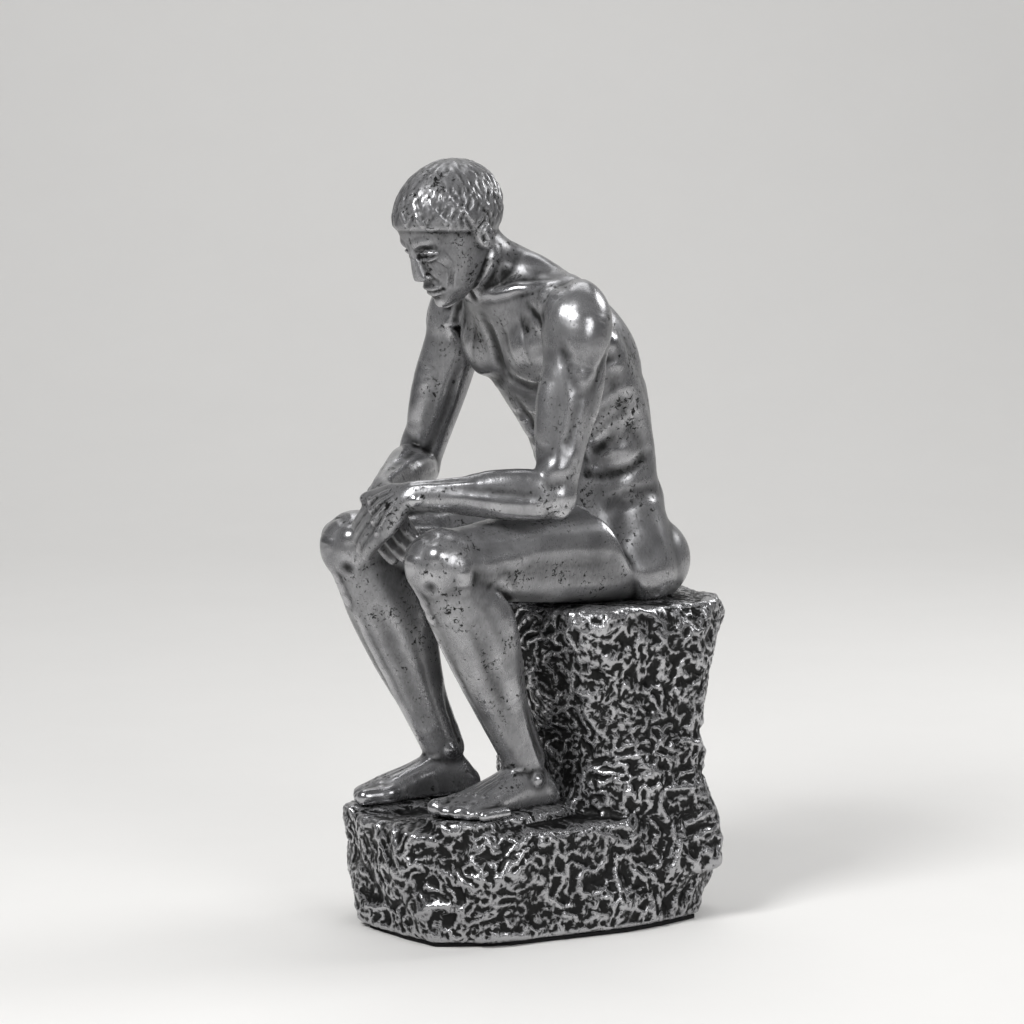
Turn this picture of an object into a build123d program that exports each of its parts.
"""Seated figure on a rough rock, a shelf statuette cast in sections and dowelled together.

The figure rests its forearms on its thighs and lays one hand over the other between its knees.
Units are millimetres and degrees. The figure faces -Y, its left side is +X, and +Z is up.
The origin is on the table, under the rock.
"""

import os
from dataclasses import dataclass
from math import asin, copysign, cos, exp, pi, radians, sin, sqrt

from build123d import *

# Rock, and what closes it underneath
SEAT_HEIGHT = 106.0
SEAT_FRONT = 22.0
SEAT_REAR = 54.0
SEAT_HALF_WIDTH = 41.0
COLUMN_REAR = 44.0
ROCK_FRONT = 67.0
ROCK_REAR = 50.0
ROCK_HALF_WIDTH = 43.0
ROCK_CORNERS = 18
ROCK_SQUARENESS = 3.2
ROCK_ROUGHNESS = 0.055
ROCK_TILT = 3.5
ROCK_WALL = 9.0
CORE_WALL = 12.0
SEAT_ROOF = 18.0
LEDGE_ROOF = 12.0
HEEL_ROOM = 3.5
PAD_RISE = 2.0
PAD_MARGIN = 3.0
PAD_CORNERS = 12
PLATE_THICKNESS = 4.0
PLATE_REBATE = 3.0
PLATE_CLEARANCE = 0.2
BALLAST_CLEARANCE = 4.0
BALLAST_DRAFT = 2.0
FELT_THICKNESS = 1.2
FELT_INSET = 2.5

# Pelvis and legs
HIP_BACK = 18.0
HIP_RISE = 16.0
HIP_SPREAD = 16.5
HIP_HALF_WIDTH = 33.5
HIP_DEPTH = 21.0
HIP_CREASE_ANGLE = 60.0
HIP_CREASE_AHEAD = 11.0
BUTTOCK_RADIUS = 15.0
THIGH_LENGTH = 77.0
THIGH_RADIUS = 15.6
THIGH_SPLAY = 8.0
THIGH_LIFT = 1.0
LEG_GAP = 0.4
KNEE_RADIUS = 12.0
SHIN_LENGTH = 79.0
SHIN_INWARD = 4.5
LEFT_SHIN_TILT = 27.0
RIGHT_SHIN_TILT = 23.0
CALF_RADIUS = 12.2
ANKLE_RADIUS = 6.1
ANKLE_HEIGHT = 12.0
FOOT_LENGTH = 47.0
FOOT_HALF_WIDTH = 9.2
HEEL_LENGTH = 11.0
BIG_TOE_RADIUS = 3.2
SMALL_TOE_RADIUS = 2.3
TOE_OUT = 6.0

# Trunk
PELVIS_TO_ARM = 0.42
WAIST_TO_ARM = 0.34
RIB_TO_ARM = 0.44
CHEST_TO_ARM = 0.42
PELVIS_LEAN = 2.0
WAIST_LEAN = 14.0
RIB_LEAN = 28.0
CHEST_LEAN = 42.0
WAIST_HALF_WIDTH = 25.0
CHEST_HALF_WIDTH = 28.5
CHEST_DEPTH = 20.5
COLLAR_HALF_WIDTH = 21.0
SHOULDER_MARGIN = 0.5
SHOULDER_FACE_RADIUS = 10.0
SPINE_FURROW = 0.13
FURROW_WIDTH = 5.0
PECTORAL_WIDTH = 16.0

# Neck and head
NECK_ROOT = 8.0
NECK_ROOT_RADIUS = 11.5
NECK_LENGTH = 14.0
NECK_LEAN = 48.0
NECK_RADIUS = 10.4
HEAD_HEIGHT = 42.0
HEAD_HALF_WIDTH = 13.8
FACE_DEPTH = 18.8
SKULL_DEPTH = 17.2
CRANIUM_RADIUS = 15.3
EAR_LEVEL = 15.5
EAR_RADIUS = 5.0
HEAD_BOW = 30.0
HAIR_THICKNESS = 1.3
HAIRLINE_FRONT = 31.0
HAIRLINE_NAPE = 9.0
EYE_LEVEL = 20.8
EYE_SPREAD = 5.9
EYE_RADIUS = 3.1
NOSE_LENGTH = 10.7
NOSE_HALF_WIDTH = 3.0
NOSE_DEPTH = 4.2
MOUTH_DROP = 4.7
LIP_HALF_WIDTH = 5.2
LIP_HEIGHT = 2.2
CHIN_RADIUS = 3.0

# Arms and hands
SHOULDER_OUT = 6.0
SHOULDER_DROP = 8.0
DELTOID_RADIUS = 11.2
UPPER_ARM_LENGTH = 60.0
UPPER_ARM_RADIUS = 9.2
ELBOW_RADIUS = 7.4
FOREARM_LENGTH = 47.0
LEFT_ELBOW_TURN = 30.0
RIGHT_ELBOW_TURN = 45.0
FOREARM_RADIUS = 8.0
WRIST_RADIUS = 5.2
WRIST_SPREAD = 15.0
WRIST_AHEAD = 2.0
WRIST_LIFT = 20.5
HAND_STACK = 4.1
PALM_LENGTH = 15.0
PALM_HALF_WIDTH = 9.0
PALM_HALF_THICKNESS = 4.0
FINGER_RADIUS = 2.45
FINGER_PITCH = 4.3
FINGER_LENGTHS = (14.5, 16.0, 15.0, 12.5)
FINGER_JOINTS = (0.46, 0.31, 0.23)
FINGER_TAPER = 0.96
THUMB_LENGTH = 15.0
THUMB_RADIUS = 2.8
LEFT_FINGER_CURL = 7.0
RIGHT_FINGER_CURL = 14.0

# Steel dowels in the joints
DOWEL_CLEARANCE = 0.1
DOWEL_END_GAP = 0.5
SEAT_DOWEL_RADIUS = 2.5
SEAT_DOWEL_DEPTH = 10.0
SEAT_DOWEL_SPREAD = 13.0
SEAT_DOWEL_BACK = 12.0
HIP_DOWEL_RADIUS = 2.5
HIP_DOWEL_DEPTH = 9.0
SHOULDER_DOWEL_RADIUS = 2.0
SHOULDER_DOWEL_DEPTH = 8.0
NECK_DOWEL_RADIUS = 2.0
NECK_DOWEL_DEPTH = 8.0
WRIST_DOWEL_RADIUS = 1.0
WRIST_DOWEL_DEPTH = 5.0
FOOT_DOWEL_RADIUS = 1.5
FOOT_DOWEL_DEPTH = 6.0

# Directions, that of the hand for the left side
LATERAL = Vector(1, 0, 0)
FORWARD = Vector(0, -1, 0)
UP = Vector(0, 0, 1)
HAND_WAY = Vector(-0.74, -0.3, -0.6)
HAND_BACK = Vector(0, -0.97, 0.25)
OUTLINE_POINTS = 16

# Sections of the foot: place ahead of the ankle, width and height
FOOT_PROFILE = (
    (-0.23, 0.42, 0.5),
    (-0.14, 0.68, 0.95),
    (0.0, 0.75, 1.3),
    (0.2, 0.8, 1.06),
    (0.38, 0.92, 0.78),
    (0.55, 1.0, 0.55),
    (0.66, 0.96, 0.38),
)


@dataclass
class Slice:
    """Cross-section of the trunk or head: its plane, and its reach to the sides, the front and the back."""

    plane: Plane
    half_width: float
    front: float
    back: float
    furrow: float = 0.0
    squareness: float = 2.2

    def face(self, outset: float = 0.0) -> Sketch:
        """Smooth outline, pulled in along the middle of the back, with an even outset."""
        points = []
        for index in range(OUTLINE_POINTS):
            across, along = superellipse(2 * pi * index / OUTLINE_POINTS, self.squareness)
            x = (self.half_width + outset) * across
            reach = (self.back if along > 0 else self.front) + outset
            groove = self.furrow * exp(-((x / FURROW_WIDTH) ** 2)) if along > 0 else 0.0
            points.append((x, reach * along * (1 - groove)))
        return self.plane * make_face(Spline(*points, periodic=True))


def superellipse(turn: float, power: float) -> tuple[float, float]:
    """Point of a unit superellipse, at a turn in radians."""
    across = copysign(abs(cos(turn)) ** (2 / power), cos(turn))
    along = copysign(abs(sin(turn)) ** (2 / power), sin(turn))
    return across, along


def lean(angle: float) -> Vector:
    """Direction that leans forward from upright by an angle."""
    return Vector(0, -sin(radians(angle)), cos(radians(angle)))


def level(point: Vector, normal: Vector) -> Plane:
    """Plane across an upright form, with its local X to the figure's left and its local Y to the back."""
    return Plane(origin=point, x_dir=LATERAL, z_dir=normal)


def between(start: Vector, end: Vector, share: float) -> Vector:
    """Point at a share of the way from start to end."""
    return start + (end - start) * share


def square_to(vector: Vector, way: Vector) -> Vector:
    """Part of a vector that is square to a direction, at unit length."""
    return (vector - way * vector.dot(way)).normalized()


def ring(point: Vector, way: Vector, across: Vector, half_across: float, half_other: float) -> Sketch:
    """Elliptical cross-section of a limb at a point, square to its way."""
    return Plane(origin=point, x_dir=square_to(across, way), z_dir=way) * Ellipse(half_across, half_other)


def limb(way: Vector, across: Vector, stations: list[tuple[Vector, float, float]]) -> Part:
    """Smooth form through elliptical cross-sections, each a point with two half widths."""
    return loft([ring(point, way, across, wide, deep) for point, wide, deep in stations])


def capsule(start: Vector, end: Vector, start_radius: float, end_radius: float) -> Part:
    """Finger-like form, round at both ends, that tapers evenly from start to end."""
    length = (end - start).length
    slope = asin((start_radius - end_radius) / length)

    def on_ball(height: float, radius: float, turn: float) -> tuple[float, float]:
        """Point of the half outline on one of the two round ends."""
        return radius * cos(turn), height + radius * sin(turn)

    root, root_edge = on_ball(0, start_radius, -pi / 2), on_ball(0, start_radius, slope)
    tip_edge, tip = on_ball(length, end_radius, slope), on_ball(length, end_radius, pi / 2)
    outline = [
        ThreePointArc(root, on_ball(0, start_radius, (slope - pi / 2) / 2), root_edge),
        Line(root_edge, tip_edge),
        ThreePointArc(tip_edge, on_ball(length, end_radius, (slope + pi / 2) / 2), tip),
        Line(tip, root),
    ]
    upright = revolve(Plane.XZ * make_face(outline), axis=Axis.Z)
    return Plane(origin=start, z_dir=end - start) * upright


def ellipsoid(plane: Plane, along_x: float, along_y: float, along_z: float) -> Part:
    """Rounded mass with its half sizes along a plane's own axes."""
    return plane * scale(Sphere(1), by=(along_x, along_y, along_z))


def dowel(centre: Vector, way: Vector, radius: float, depth: float) -> Part:
    """Round steel pin that reaches the same depth to both sides of a joint face."""
    return Plane(origin=centre, z_dir=way) * Cylinder(radius, 2 * depth)


def dowel_hole(centre: Vector, way: Vector, radius: float, depth: float) -> Part:
    """Hole for a dowel, with clearance round it and past its ends."""
    return dowel(centre, way, radius + DOWEL_CLEARANCE, depth + DOWEL_END_GAP)


# Skeleton of the trunk, from the hips to the skull, with a back as long as the upper arms need
hips = Vector(0, HIP_BACK, SEAT_HEIGHT + HIP_RISE)
waist = hips + lean(PELVIS_LEAN) * (PELVIS_TO_ARM * UPPER_ARM_LENGTH)
ribs = waist + lean(WAIST_LEAN) * (WAIST_TO_ARM * UPPER_ARM_LENGTH)
chest = ribs + lean(RIB_LEAN) * (RIB_TO_ARM * UPPER_ARM_LENGTH)
collar = chest + lean(CHEST_LEAN) * (CHEST_TO_ARM * UPPER_ARM_LENGTH)
neck_root = collar + lean(NECK_LEAN) * NECK_ROOT
skull = neck_root + lean(NECK_LEAN) * NECK_LENGTH
shoulder_middle = collar - lean(CHEST_LEAN) * SHOULDER_DROP
shoulder_reach = CHEST_HALF_WIDTH + SHOULDER_MARGIN

# Heights and faces where the castings meet
plate_top = FELT_THICKNESS + PLATE_THICKNESS
crease_way = Vector(0, sin(radians(HIP_CREASE_ANGLE)), cos(radians(HIP_CREASE_ANGLE)))
hip_face = level(hips + FORWARD * HIP_CREASE_AHEAD, crease_way)
seat_face = level(Vector(0, 0, SEAT_HEIGHT), UP)
neck_face = level(neck_root, lean(NECK_LEAN))
chest_level = level(chest, lean((RIB_LEAN + CHEST_LEAN) / 2))


class Leg:
    """One leg, from the hip crease to the toes. The sign is 1 for the left leg and -1 for the right."""

    def __init__(self, sign: int, shin_tilt: float):
        splay, lift, tilt = radians(THIGH_SPLAY), radians(THIGH_LIFT), radians(shin_tilt)
        inward, toe_out = radians(SHIN_INWARD), radians(TOE_OUT)
        self.sign = sign
        self.hip = Vector(sign * HIP_SPREAD, hips.Y, hips.Z)
        self.thigh_way = Vector(sign * sin(splay) * cos(lift), -cos(splay) * cos(lift), sin(lift))
        self.knee = self.hip + self.thigh_way * THIGH_LENGTH
        self.shin_way = Vector(-sign * sin(inward), sin(tilt) * cos(inward), -cos(tilt) * cos(inward))
        self.calf_way = Vector(0, cos(tilt), sin(tilt))
        self.ankle = self.knee + self.shin_way * SHIN_LENGTH
        self.sole = self.ankle.Z - ANKLE_HEIGHT
        self.foot_way = Vector(sign * sin(toe_out), -cos(toe_out), 0)
        self.foot_side = self.foot_way.cross(UP) * -sign
        self.heel = self.on_sole(-HEEL_LENGTH)
        self.toes = self.on_sole(FOOT_LENGTH - HEEL_LENGTH)
        self.hip_dowel_at = self.hip + self.thigh_way * (HIP_CREASE_AHEAD / -self.thigh_way.Y)
        self.foot_dowel_at = self.on_sole(0.1 * FOOT_LENGTH)

    def on_sole(self, ahead: float, aside: float = 0.0) -> Vector:
        """Point on the sole, ahead of the ankle and aside towards the little toe."""
        below_ankle = Vector(self.ankle.X, self.ankle.Y, self.sole)
        return below_ankle + self.foot_way * ahead + self.foot_side * aside

    def thigh(self) -> Part:
        """Thigh, fullest near the hip and drawn in above the knee."""
        stations = []
        for share, full in ((-0.27, 1.08), (0.0, 1.1), (0.3, 1.03), (0.62, 0.89), (0.88, 0.76)):
            radius = full * THIGH_RADIUS
            stations.append((between(self.hip, self.knee, share), radius, radius))
        stations.append((self.knee, 0.86 * KNEE_RADIUS, 0.9 * KNEE_RADIUS))
        return limb(self.thigh_way, LATERAL, stations)

    def knee_mass(self) -> Part:
        """Rounded knee with its cap, over the bend of thigh and shin."""
        return ellipsoid(level(self.knee, UP), 0.98 * KNEE_RADIUS, 1.04 * KNEE_RADIUS, KNEE_RADIUS)

    def shin(self) -> Part:
        """Lower leg, with the calf's swell at the back and a slim ankle."""
        stations = [(self.knee, 0.86 * KNEE_RADIUS, 0.9 * KNEE_RADIUS)]
        for share, back, full in ((0.14, 0.06, 0.94), (0.33, 0.17, 1.0), (0.55, 0.1, 0.83), (0.8, 0.0, 0.6)):
            point = between(self.knee, self.ankle, share) + self.calf_way * (back * CALF_RADIUS)
            stations.append((point, full * CALF_RADIUS, 1.05 * full * CALF_RADIUS))
        stations.append((self.ankle, ANKLE_RADIUS, 1.12 * ANKLE_RADIUS))
        return limb(self.shin_way, LATERAL, stations)

    def foot(self) -> Part:
        """Foot from heel to ball, highest under the ankle, and five toes."""
        stations = []
        for ahead, wide, high in FOOT_PROFILE:
            centre = self.on_sole(ahead * FOOT_LENGTH) + UP * (0.42 * high * ANKLE_HEIGHT)
            stations.append((centre, wide * FOOT_HALF_WIDTH, 0.58 * high * ANKLE_HEIGHT))
        return limb(self.foot_way, self.foot_side, stations) + [self.toe(index) for index in range(5)]

    def toe(self, index: int) -> Part:
        """One toe, counted from the big toe, reaching less far the further out it is."""
        radius = BIG_TOE_RADIUS
        aside = BIG_TOE_RADIUS - FOOT_HALF_WIDTH
        if index:
            radius = SMALL_TOE_RADIUS * (1 - 0.04 * (index - 1))
            aside += 0.9 * BIG_TOE_RADIUS + (1.75 * index - 0.95) * SMALL_TOE_RADIUS
        tip = FOOT_LENGTH * (1 - 0.015 * index - 0.006 * index**2) - HEEL_LENGTH - radius
        root = tip - 0.2 * FOOT_LENGTH
        height = UP * (0.8 * radius)
        start, end = self.on_sole(root, aside) + height, self.on_sole(tip, aside) + height
        return capsule(start, end, radius, 0.97 * radius)

    def solid(self) -> Part:
        """The whole leg, flat where it meets the pelvis, the seat and the rock under the sole."""
        middle = Plane(origin=LATERAL * (self.sign * LEG_GAP / 2), z_dir=LATERAL * self.sign)
        thigh = split(self.thigh(), bisect_by=hip_face, keep=Keep.BOTTOM)
        thigh = split(thigh, bisect_by=seat_face, keep=Keep.TOP)
        thigh = split(thigh, bisect_by=middle, keep=Keep.TOP)
        foot = split(self.foot(), bisect_by=level(self.on_sole(0), UP), keep=Keep.TOP)
        leg = thigh + [self.knee_mass(), self.shin(), foot]
        leg -= dowel_hole(self.hip_dowel_at, crease_way, HIP_DOWEL_RADIUS, HIP_DOWEL_DEPTH)
        return leg - dowel_hole(self.foot_dowel_at, UP, FOOT_DOWEL_RADIUS, FOOT_DOWEL_DEPTH)


class Arm:
    """One arm and its hand. The sign is 1 for the left, and the stack is 1 for the hand that lies on top."""

    def __init__(self, sign: int, stack: int, elbow_turn: float, curl: float, leg: Leg):
        self.sign = sign
        self.elbow_turn = elbow_turn
        self.curl = curl
        self.shoulder_dowel_at = shoulder_middle + LATERAL * (sign * shoulder_reach)
        self.shoulder = self.shoulder_dowel_at + LATERAL * (sign * SHOULDER_OUT)
        self.hand_way = Vector(sign * HAND_WAY.X, HAND_WAY.Y, HAND_WAY.Z).normalized()
        self.hand_back = square_to(HAND_BACK, self.hand_way)
        self.thumb_side = self.hand_back.cross(self.hand_way) * -sign
        over_knee = Vector(sign * WRIST_SPREAD, leg.knee.Y - WRIST_AHEAD, leg.knee.Z + WRIST_LIFT)
        self.wrist = over_knee + HAND_BACK * (stack * HAND_STACK)
        self.elbow = self.bend()
        self.upper_way = (self.elbow - self.shoulder).normalized()
        self.fore_way = (self.wrist - self.elbow).normalized()
        self.pin_way = (self.fore_way + self.hand_way).normalized()
        self.hinge = self.upper_way.cross(self.fore_way).normalized()

    def bend(self) -> Vector:
        """Elbow of an arm of fixed lengths, back from the line of shoulder and wrist and turned out."""
        reach = self.wrist - self.shoulder
        way = reach.normalized()
        along = (UPPER_ARM_LENGTH**2 - FOREARM_LENGTH**2 + reach.length**2) / (2 * reach.length)
        turn = radians(self.elbow_turn)
        aside = square_to(Vector(self.sign * sin(turn), cos(turn), 0), way)
        return self.shoulder + way * along + aside * sqrt(UPPER_ARM_LENGTH**2 - along**2)

    def upper_arm(self) -> Part:
        """Upper arm under the shoulder cap, slimmer towards the elbow."""
        stations = []
        for share, full in ((-0.06, 0.9), (0.2, 1.04), (0.45, 1.02), (0.72, 0.87), (1.0, 0.73)):
            radius = full * UPPER_ARM_RADIUS
            stations.append((between(self.shoulder, self.elbow, share), radius, radius))
        cap = Plane(origin=between(self.shoulder, self.elbow, 0.12), x_dir=self.hinge, z_dir=self.upper_way)
        shoulder_cap = ellipsoid(cap, DELTOID_RADIUS, DELTOID_RADIUS, 1.5 * DELTOID_RADIUS)
        return limb(self.upper_way, self.hinge, stations) + shoulder_cap

    def forearm(self) -> Part:
        """Forearm, fullest below the elbow and flattened to the wrist."""
        stations = []
        for share, wide, deep in ((0.0, 0.86, 0.86), (0.2, 1.0, 1.0), (0.45, 0.94, 0.92), (0.75, 0.74, 0.7)):
            point = between(self.elbow, self.wrist, share)
            stations.append((point, wide * FOREARM_RADIUS, deep * FOREARM_RADIUS))
        stations.append((self.wrist, WRIST_RADIUS, 0.8 * WRIST_RADIUS))
        return limb(self.fore_way, self.thumb_side, stations)

    def solid(self) -> Part:
        """Shoulder cap to wrist, flat where it meets the trunk and the hand."""
        face = Plane(origin=self.shoulder_dowel_at, z_dir=LATERAL * self.sign)
        arm = split(self.upper_arm(), bisect_by=face, keep=Keep.TOP)
        arm += [Pos(*self.elbow) * Sphere(ELBOW_RADIUS), self.forearm()]
        arm -= dowel_hole(self.shoulder_dowel_at, LATERAL, SHOULDER_DOWEL_RADIUS, SHOULDER_DOWEL_DEPTH)
        return arm - dowel_hole(self.wrist, self.pin_way, WRIST_DOWEL_RADIUS, WRIST_DOWEL_DEPTH)

    def finger(self, index: int) -> list[Part]:
        """Three joints of one finger, counted from the forefinger, curling towards the palm."""
        aside = (1.5 - index) * FINGER_PITCH
        point = self.wrist + self.hand_way * (0.86 * PALM_LENGTH) + self.thumb_side * aside
        radius = FINGER_RADIUS
        joints = []
        for joint, share in enumerate(FINGER_JOINTS, start=1):
            turn = radians(self.curl * joint)
            way = self.hand_way * cos(turn) - self.hand_back * sin(turn)
            end = point + way * (FINGER_LENGTHS[index] * share)
            joints.append(capsule(point, end, radius, FINGER_TAPER * radius))
            point, radius = end, FINGER_TAPER**2 * radius
        return joints

    def thumb(self) -> Part:
        """Thumb, lying along the edge of the palm."""
        root = self.wrist + self.hand_way * (0.3 * PALM_LENGTH) + self.thumb_side * (0.55 * PALM_HALF_WIDTH)
        way = (self.hand_way + self.thumb_side * 0.45).normalized()
        return capsule(root, root + way * THUMB_LENGTH, 1.1 * THUMB_RADIUS, 0.85 * THUMB_RADIUS)

    def hand(self) -> Part:
        """Palm, fingers and thumb, flat at the wrist."""
        sections = [ring(self.wrist, self.fore_way, self.thumb_side, WRIST_RADIUS, 0.8 * WRIST_RADIUS)]
        for share, wide, deep in ((0.3, 0.78, 1.02), (0.6, 0.97, 1.0), (0.95, 1.0, 0.82)):
            point = self.wrist + self.hand_way * (share * PALM_LENGTH)
            wide, deep = wide * PALM_HALF_WIDTH, deep * PALM_HALF_THICKNESS
            sections.append(ring(point, self.hand_way, self.thumb_side, wide, deep))
        digits = [joint for index in range(4) for joint in self.finger(index)]
        hand = loft(sections) + [*digits, self.thumb()]
        return hand - dowel_hole(self.wrist, self.pin_way, WRIST_DOWEL_RADIUS, WRIST_DOWEL_DEPTH)


def trunk_slices() -> list[Slice]:
    """Sections of the trunk from the seat to the root of the neck."""
    seat = level(Vector(0, HIP_BACK, SEAT_HEIGHT), UP)
    waist_level = level(waist, lean((PELVIS_LEAN + WAIST_LEAN) / 2))
    rib_level = level(ribs, lean((WAIST_LEAN + RIB_LEAN) / 2))
    collar_level = level(collar, lean((CHEST_LEAN + NECK_LEAN) / 2))
    waist_depth, rib_depth, collar_depth = 0.8 * CHEST_DEPTH, 0.93 * CHEST_DEPTH, 0.66 * CHEST_DEPTH
    return [
        Slice(seat, 0.84 * HIP_HALF_WIDTH, HIP_DEPTH, HIP_DEPTH),
        Slice(level(hips, lean(PELVIS_LEAN)), HIP_HALF_WIDTH, 1.1 * HIP_DEPTH, HIP_DEPTH, SPINE_FURROW),
        Slice(waist_level, WAIST_HALF_WIDTH, waist_depth, waist_depth, SPINE_FURROW),
        Slice(rib_level, 0.92 * CHEST_HALF_WIDTH, rib_depth, rib_depth, SPINE_FURROW),
        Slice(chest_level, CHEST_HALF_WIDTH, CHEST_DEPTH, 0.94 * CHEST_DEPTH, SPINE_FURROW),
        Slice(collar_level, COLLAR_HALF_WIDTH, collar_depth, collar_depth, SPINE_FURROW / 2),
        Slice(neck_face, NECK_ROOT_RADIUS, NECK_ROOT_RADIUS, NECK_ROOT_RADIUS),
    ]


def shoulder_yoke() -> Part:
    """Bar of muscle and collarbone across the top of the chest, from one shoulder face to the other."""
    stations = []
    for share in (-1.0, -0.5, 0.0, 0.5, 1.0):
        inward = 1 - abs(share)
        raised = lean(CHEST_LEAN) * (0.3 * inward * SHOULDER_DROP)
        point = shoulder_middle + raised + LATERAL * (share * shoulder_reach)
        radius = (1 + 0.16 * inward) * SHOULDER_FACE_RADIUS
        stations.append((point, radius, radius))
    return limb(LATERAL, UP, stations)


def trunk_masses(sign: int) -> list[Part]:
    """Breast muscle, buttock and neck muscle of one side."""
    pectoral = Plane(chest_level * Pos(sign * 0.8 * PECTORAL_WIDTH, -0.57 * CHEST_DEPTH, 0.25 * PECTORAL_WIDTH))
    buttock_back, buttock_rise = HIP_BACK + 0.5 * BUTTOCK_RADIUS, SEAT_HEIGHT + 0.8 * BUTTOCK_RADIUS
    buttock = level(Vector(sign * BUTTOCK_RADIUS, buttock_back, buttock_rise), UP)
    neck_side = neck_root - lean(NECK_LEAN) * (0.72 * NECK_ROOT_RADIUS)
    neck_side += LATERAL * (0.3 * sign * NECK_ROOT_RADIUS)
    shoulder_top = shoulder_middle + UP * (0.35 * SHOULDER_FACE_RADIUS)
    shoulder_top += LATERAL * (0.78 * sign * shoulder_reach)
    return [
        ellipsoid(pectoral, PECTORAL_WIDTH, 0.5 * CHEST_DEPTH, 0.8 * PECTORAL_WIDTH),
        ellipsoid(buttock, 1.05 * BUTTOCK_RADIUS, 1.1 * BUTTOCK_RADIUS, BUTTOCK_RADIUS),
        capsule(neck_side, shoulder_top, 0.7 * NECK_ROOT_RADIUS, 0.62 * SHOULDER_FACE_RADIUS),
    ]


def trunk(legs: list[Leg], arms: list[Arm]) -> Part:
    """Pelvis, waist, chest and shoulders, flat at the seat, hips, shoulders and neck."""
    body = loft([piece.face() for piece in trunk_slices()])
    body += [shoulder_yoke(), *trunk_masses(1), *trunk_masses(-1)]
    body = split(body, bisect_by=seat_face, keep=Keep.TOP)
    body = split(body, bisect_by=hip_face, keep=Keep.TOP)
    for leg in legs:
        body -= dowel_hole(leg.hip_dowel_at, crease_way, HIP_DOWEL_RADIUS, HIP_DOWEL_DEPTH)
    for arm in arms:
        body -= dowel_hole(arm.shoulder_dowel_at, LATERAL, SHOULDER_DOWEL_RADIUS, SHOULDER_DOWEL_DEPTH)
    for at in seat_dowel_places():
        body -= dowel_hole(at, UP, SEAT_DOWEL_RADIUS, SEAT_DOWEL_DEPTH)
    return body - dowel_hole(neck_root, lean(NECK_LEAN), NECK_DOWEL_RADIUS, NECK_DOWEL_DEPTH)


def seat_dowel_places() -> list[Vector]:
    """Middles of the two dowels between pelvis and rock, on the seat."""
    return [Vector(sign * SEAT_DOWEL_SPREAD, HIP_BACK + SEAT_DOWEL_BACK, SEAT_HEIGHT) for sign in (1, -1)]


def in_head(aside: float, ahead: float, rise: float) -> Plane:
    """Plane in the head's bowed frame, at a distance to the left, ahead of the ears and above the chin."""
    return Plane(level(skull, lean(HEAD_BOW)) * Pos(aside, -ahead, rise - EAR_LEVEL))


def cranium(outset: float = 0.0) -> Part:
    """Egg of the skull, with an even outset for the hair over it."""
    centre = in_head(0, (FACE_DEPTH - SKULL_DEPTH) / 2, HEAD_HEIGHT - CRANIUM_RADIUS)
    half_depth = (FACE_DEPTH + SKULL_DEPTH) / 2
    return ellipsoid(centre, HEAD_HALF_WIDTH + outset, half_depth + outset, CRANIUM_RADIUS + outset)


def face_block() -> Part:
    """Front of the head from chin to brow, narrowing to the jaw."""
    profile = ((0.02, 0.34, 0.93, -0.5), (0.13, 0.66, 0.97, -0.1), (0.26, 0.86, 0.97, 0.25))
    profile += ((0.39, 0.93, 0.96, 0.45), (0.52, 0.93, 0.92, 0.55), (0.64, 0.88, 0.9, 0.55))
    faces = []
    for rise, wide, front, back in profile:
        half_depth = (front * FACE_DEPTH + back * SKULL_DEPTH) / 2
        middle = front * FACE_DEPTH - half_depth
        plane = in_head(0, middle, rise * HEAD_HEIGHT)
        faces.append(Slice(plane, wide * HEAD_HALF_WIDTH, half_depth, half_depth).face())
    return loft(faces)


def nose() -> Part:
    """Straight nose, widest at its base."""
    top = in_head(0, FACE_DEPTH - 0.25 * NOSE_DEPTH, EYE_LEVEL + 0.25 * NOSE_LENGTH).origin
    base = in_head(0, FACE_DEPTH + 0.35 * NOSE_DEPTH, EYE_LEVEL - 0.75 * NOSE_LENGTH).origin
    way = (base - top).normalized()
    profile = ((0.0, 0.5, 0.75), (0.35, 0.6, 0.9), (0.75, 0.9, 1.05), (1.0, 1.0, 0.95))
    stations = []
    for share, wide, deep in profile:
        stations.append((between(top, base, share), wide * NOSE_HALF_WIDTH, deep * NOSE_DEPTH / 2))
    return limb(way, LATERAL, stations)


def face_masses() -> list[Part]:
    """Nose, lips, chin, eyes and ears."""
    mouth = EYE_LEVEL - 0.75 * NOSE_LENGTH - MOUTH_DROP
    upper_lip = in_head(0, FACE_DEPTH - 0.3 * LIP_HEIGHT, mouth + LIP_HEIGHT / 2)
    lower_lip = in_head(0, FACE_DEPTH - 0.4 * LIP_HEIGHT, mouth - LIP_HEIGHT / 2)
    chin = in_head(0, FACE_DEPTH - CHIN_RADIUS, CHIN_RADIUS)
    masses = [
        nose(),
        ellipsoid(upper_lip, LIP_HALF_WIDTH, 0.77 * LIP_HEIGHT, 0.55 * LIP_HEIGHT),
        ellipsoid(lower_lip, 0.86 * LIP_HALF_WIDTH, 0.77 * LIP_HEIGHT, 0.6 * LIP_HEIGHT),
        ellipsoid(chin, 1.4 * CHIN_RADIUS, CHIN_RADIUS, CHIN_RADIUS),
    ]
    for sign in (1, -1):
        masses.append(in_head(sign * EYE_SPREAD, FACE_DEPTH - 1.5 * EYE_RADIUS, EYE_LEVEL) * Sphere(EYE_RADIUS))
        ear = in_head(sign * HEAD_HALF_WIDTH, -0.1 * EAR_RADIUS, EAR_LEVEL + 0.4 * EAR_RADIUS)
        masses.append(ellipsoid(ear, 0.35 * EAR_RADIUS, 0.65 * EAR_RADIUS, EAR_RADIUS))
    return masses


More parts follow.
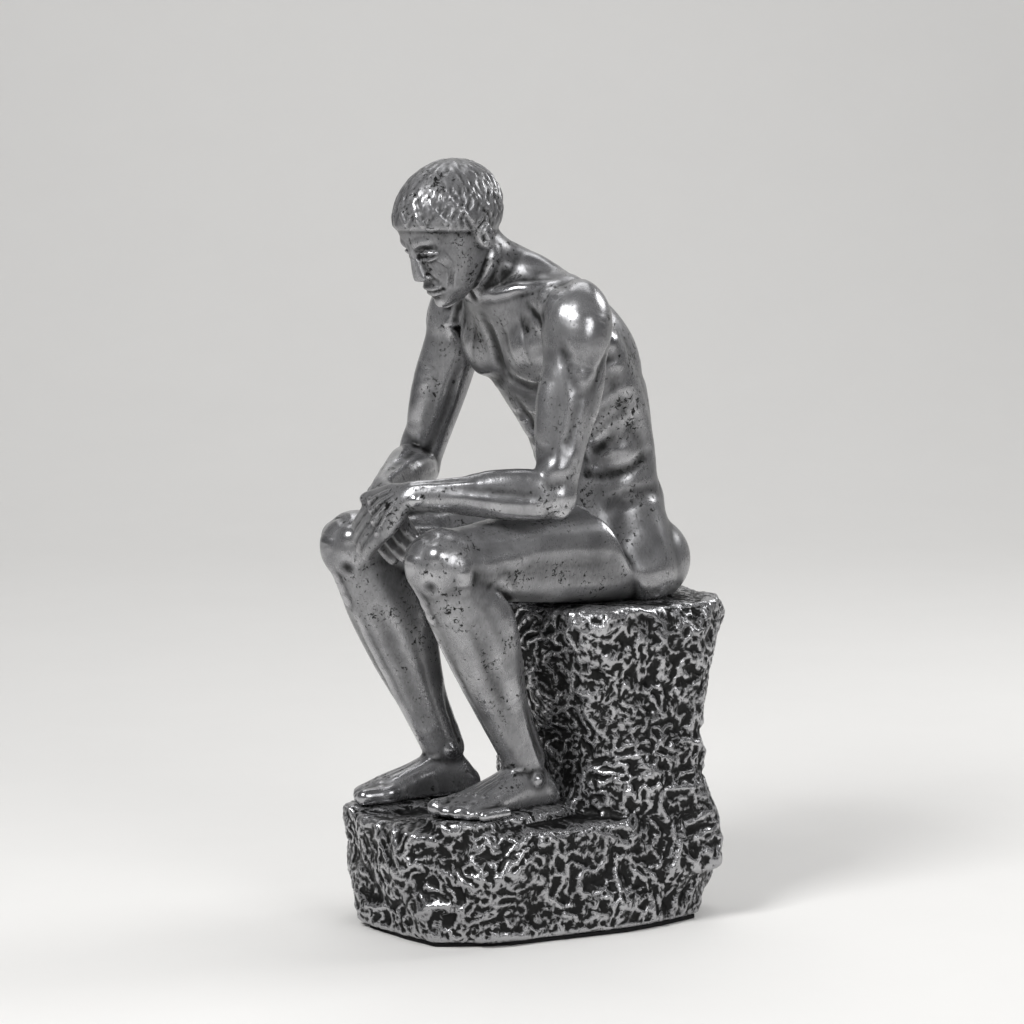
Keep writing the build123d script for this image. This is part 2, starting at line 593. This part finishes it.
def hair() -> Part:
    """Close-cropped hair, a cap with a distinct rim from the forehead to the nape."""
    front = in_head(0, FACE_DEPTH, HAIRLINE_FRONT).origin
    nape = in_head(0, -SKULL_DEPTH, HAIRLINE_NAPE).origin
    hairline = Plane(origin=front, x_dir=LATERAL, z_dir=LATERAL.cross(nape - front))
    return split(cranium(HAIR_THICKNESS), bisect_by=hairline, keep=Keep.TOP)


def neck() -> Part:
    """Neck, from its root on the trunk up into the skull."""
    sections = [trunk_slices()[-1].face()]
    for share, full in ((0.35, 1.0), (0.7, 1.0), (1.05, 0.92)):
        radius = full * NECK_RADIUS
        sections.append(ring(between(neck_root, skull, share), lean(NECK_LEAN), LATERAL, radius, radius))
    return loft(sections)


def head() -> Part:
    """Neck, head, face and hair, flat at the root of the neck."""
    shape = cranium() + face_block()
    for sign in (1, -1):
        socket = in_head(sign * EYE_SPREAD, FACE_DEPTH, EYE_LEVEL)
        shape -= ellipsoid(socket, 1.3 * EYE_RADIUS, 0.9 * EYE_RADIUS, 0.85 * EYE_RADIUS)
    shape += [neck(), hair(), *face_masses()]
    return shape - dowel_hole(neck_root, lean(NECK_LEAN), NECK_DOWEL_RADIUS, NECK_DOWEL_DEPTH)


@dataclass
class RockLevel:
    """Outline of the rock at one height: its reach to each side, the front and the rear, and its tilt."""

    height: float
    half_width: float
    front: float
    rear: float
    tilt: float = 0.0

    def face(self, inset: float = 0.0, height: float | None = None) -> Sketch:
        """Rough many-sided outline, drawn in by an even inset. It is tilted unless a height is given."""
        half_depth = (self.front + self.rear) / 2
        middle = (self.rear - self.front) / 2
        points = []
        for index in range(ROCK_CORNERS):
            turn = 2 * pi * (index + 0.25 * sin(2.4 * index + self.height)) / ROCK_CORNERS
            across, along = superellipse(turn, ROCK_SQUARENESS)
            rough = 1 + ROCK_ROUGHNESS * sin(1.9 * index**2 + 0.7 * self.height)
            x = (self.half_width * rough - inset) * across
            points.append((x, middle + (half_depth * rough - inset) * along))
        outline = make_face(Polyline(*points, close=True))
        if height is not None:
            return Pos(0, 0, height) * outline
        turned = Rot(self.tilt * sin(self.height), self.tilt * cos(self.height), 0) * outline
        return Pos(0, 0, self.height) * turned


def plinth_levels(ledge: float) -> list[RockLevel]:
    """Foot of the rock, from the table to the ledge under the feet."""
    return [
        RockLevel(FELT_THICKNESS, 0.96 * ROCK_HALF_WIDTH, 0.95 * ROCK_FRONT, 0.96 * ROCK_REAR),
        RockLevel(0.35 * ledge, ROCK_HALF_WIDTH, ROCK_FRONT, ROCK_REAR, ROCK_TILT),
        RockLevel(0.7 * ledge, 0.97 * ROCK_HALF_WIDTH, 0.98 * ROCK_FRONT, 0.97 * ROCK_REAR, ROCK_TILT),
        RockLevel(ledge, 0.95 * ROCK_HALF_WIDTH, 0.96 * ROCK_FRONT, 0.93 * ROCK_REAR),
    ]


def column_levels(ledge: float, front: float) -> list[RockLevel]:
    """Seat block of the rock, drawn in above the ledge and overhanging at the seat."""
    rise = SEAT_HEIGHT - ledge
    undercut = (front + SEAT_FRONT) / 2
    return [
        RockLevel(0.5 * ledge, 0.97 * ROCK_HALF_WIDTH, front, 0.97 * ROCK_REAR),
        RockLevel(ledge + 0.12 * rise, 0.96 * SEAT_HALF_WIDTH, front, 1.02 * COLUMN_REAR, ROCK_TILT),
        RockLevel(ledge + 0.38 * rise, 0.9 * SEAT_HALF_WIDTH, front, COLUMN_REAR, ROCK_TILT),
        RockLevel(ledge + 0.62 * rise, 0.92 * SEAT_HALF_WIDTH, undercut, 0.9 * SEAT_REAR, ROCK_TILT),
        RockLevel(ledge + 0.85 * rise, SEAT_HALF_WIDTH, SEAT_FRONT, SEAT_REAR, ROCK_TILT),
        RockLevel(SEAT_HEIGHT, 0.95 * SEAT_HALF_WIDTH, 0.95 * SEAT_FRONT, 0.95 * SEAT_REAR),
    ]


def straight(outline: RockLevel, inset: float, bottom: float, top: float) -> Part:
    """Upright block with the rock's outline, between two heights."""
    return loft([outline.face(inset, bottom), outline.face(inset, top)], ruled=True)


def foot_pad(leg: Leg, ledge: float) -> Part:
    """Lump of rock under one foot, with its top on the sole."""
    frame = Plane(origin=between(leg.heel, leg.toes, 0.5), x_dir=leg.foot_side, z_dir=UP)
    sections = []
    for drop, spread in ((leg.sole - 0.4 * ledge, -PAD_MARGIN), (0.0, PAD_MARGIN)):
        corners = []
        for index in range(PAD_CORNERS):
            across, along = superellipse(2 * pi * index / PAD_CORNERS, ROCK_SQUARENESS)
            corners.append(((FOOT_HALF_WIDTH + spread) * across, (FOOT_LENGTH / 2 + spread) * along))
        sections.append(frame * Pos(0, 0, -drop) * make_face(Polyline(*corners, close=True)))
    return loft(sections, ruled=True)


def rock(legs: list[Leg]) -> Part:
    """Hollow rock casting, open underneath, with a rebate for its closing plate."""
    ledge = ledge_height(legs)
    plinth, column = plinth_levels(ledge), column_levels(ledge, column_front(legs))
    block = loft([piece.face() for piece in plinth], ruled=True)
    block += loft([piece.face() for piece in column], ruled=True)
    block += [foot_pad(leg, ledge) for leg in legs]
    core = column[2]
    block -= [
        straight(plinth[0], ROCK_WALL, FELT_THICKNESS, ledge - LEDGE_ROOF),
        straight(core, CORE_WALL, plate_top, SEAT_HEIGHT - SEAT_ROOF),
        straight(plinth[0], ROCK_WALL - PLATE_REBATE, FELT_THICKNESS, plate_top),
    ]
    for leg in legs:
        block -= dowel_hole(leg.foot_dowel_at, UP, FOOT_DOWEL_RADIUS, FOOT_DOWEL_DEPTH)
    for at in seat_dowel_places():
        block -= dowel_hole(at, UP, SEAT_DOWEL_RADIUS, SEAT_DOWEL_DEPTH)
    return block


def ledge_height(legs: list[Leg]) -> float:
    """Height of the ledge round the lumps under the feet."""
    return min(leg.sole for leg in legs) - PAD_RISE


def column_front(legs: list[Leg]) -> float:
    """Reach of the seat block to the front, just behind the heels."""
    return -max(leg.heel.Y for leg in legs) - HEEL_ROOM


def closing_pieces(legs: list[Leg]) -> dict[str, Part]:
    """Plate that closes the rock, the ballast that stands on it in the seat block and the felt under both."""
    ledge = ledge_height(legs)
    foot, core = plinth_levels(ledge)[0], column_levels(ledge, column_front(legs))[2]
    plate_inset = ROCK_WALL - PLATE_REBATE + PLATE_CLEARANCE
    ballast_inset = CORE_WALL + BALLAST_CLEARANCE
    ballast_foot = core.face(ballast_inset, plate_top)
    ballast_top = core.face(ballast_inset + BALLAST_DRAFT, SEAT_HEIGHT - SEAT_ROOF - BALLAST_CLEARANCE)
    return {
        "base_plate": straight(foot, plate_inset, FELT_THICKNESS, plate_top),
        "ballast_block": loft([ballast_foot, ballast_top], ruled=True),
        "felt_pad": straight(foot, FELT_INSET, 0.0, FELT_THICKNESS),
    }


def dowel_set(places: list[Vector], ways: list[Vector], radius: float, depth: float) -> Compound:
    """Like dowels as one group."""
    return Compound([dowel(place, way, radius, depth).solid() for place, way in zip(places, ways)])


def dowels(legs: list[Leg], arms: list[Arm]) -> dict[str, Part]:
    """Steel dowels, the like ones together."""
    hip_places, foot_places = [leg.hip_dowel_at for leg in legs], [leg.foot_dowel_at for leg in legs]
    shoulder_places, wrists = [arm.shoulder_dowel_at for arm in arms], [arm.wrist for arm in arms]
    pin_ways = [arm.pin_way for arm in arms]
    return {
        "seat_dowels": dowel_set(seat_dowel_places(), [UP, UP], SEAT_DOWEL_RADIUS, SEAT_DOWEL_DEPTH),
        "hip_dowels": dowel_set(hip_places, [crease_way, crease_way], HIP_DOWEL_RADIUS, HIP_DOWEL_DEPTH),
        "foot_dowels": dowel_set(foot_places, [UP, UP], FOOT_DOWEL_RADIUS, FOOT_DOWEL_DEPTH),
        "shoulder_dowels": dowel_set(
            shoulder_places, [LATERAL, LATERAL], SHOULDER_DOWEL_RADIUS, SHOULDER_DOWEL_DEPTH
        ),
        "wrist_dowels": dowel_set(wrists, pin_ways, WRIST_DOWEL_RADIUS, WRIST_DOWEL_DEPTH),
        "neck_dowel": dowel(neck_root, lean(NECK_LEAN), NECK_DOWEL_RADIUS, NECK_DOWEL_DEPTH),
    }


def main() -> None:
    """Builds every piece and writes one file for each."""
    legs = [Leg(1, LEFT_SHIN_TILT), Leg(-1, RIGHT_SHIN_TILT)]
    left_arm = Arm(1, 1, LEFT_ELBOW_TURN, LEFT_FINGER_CURL, legs[0])
    right_arm = Arm(-1, -1, RIGHT_ELBOW_TURN, RIGHT_FINGER_CURL, legs[1])
    arms = [left_arm, right_arm]
    pieces = {"torso": trunk(legs, arms), "head": head(), "rock_base": rock(legs)}
    for name, leg, arm in zip(("left", "right"), legs, arms):
        pieces[f"{name}_leg"] = leg.solid()
        pieces[f"{name}_arm"] = arm.solid()
        pieces[f"{name}_hand"] = arm.hand()
    pieces |= closing_pieces(legs) | dowels(legs, arms)
    os.makedirs("parts", exist_ok=True)
    for name, piece in pieces.items():
        export_step(piece, f"parts/{name}.step")


if __name__ == "__main__":
    main()
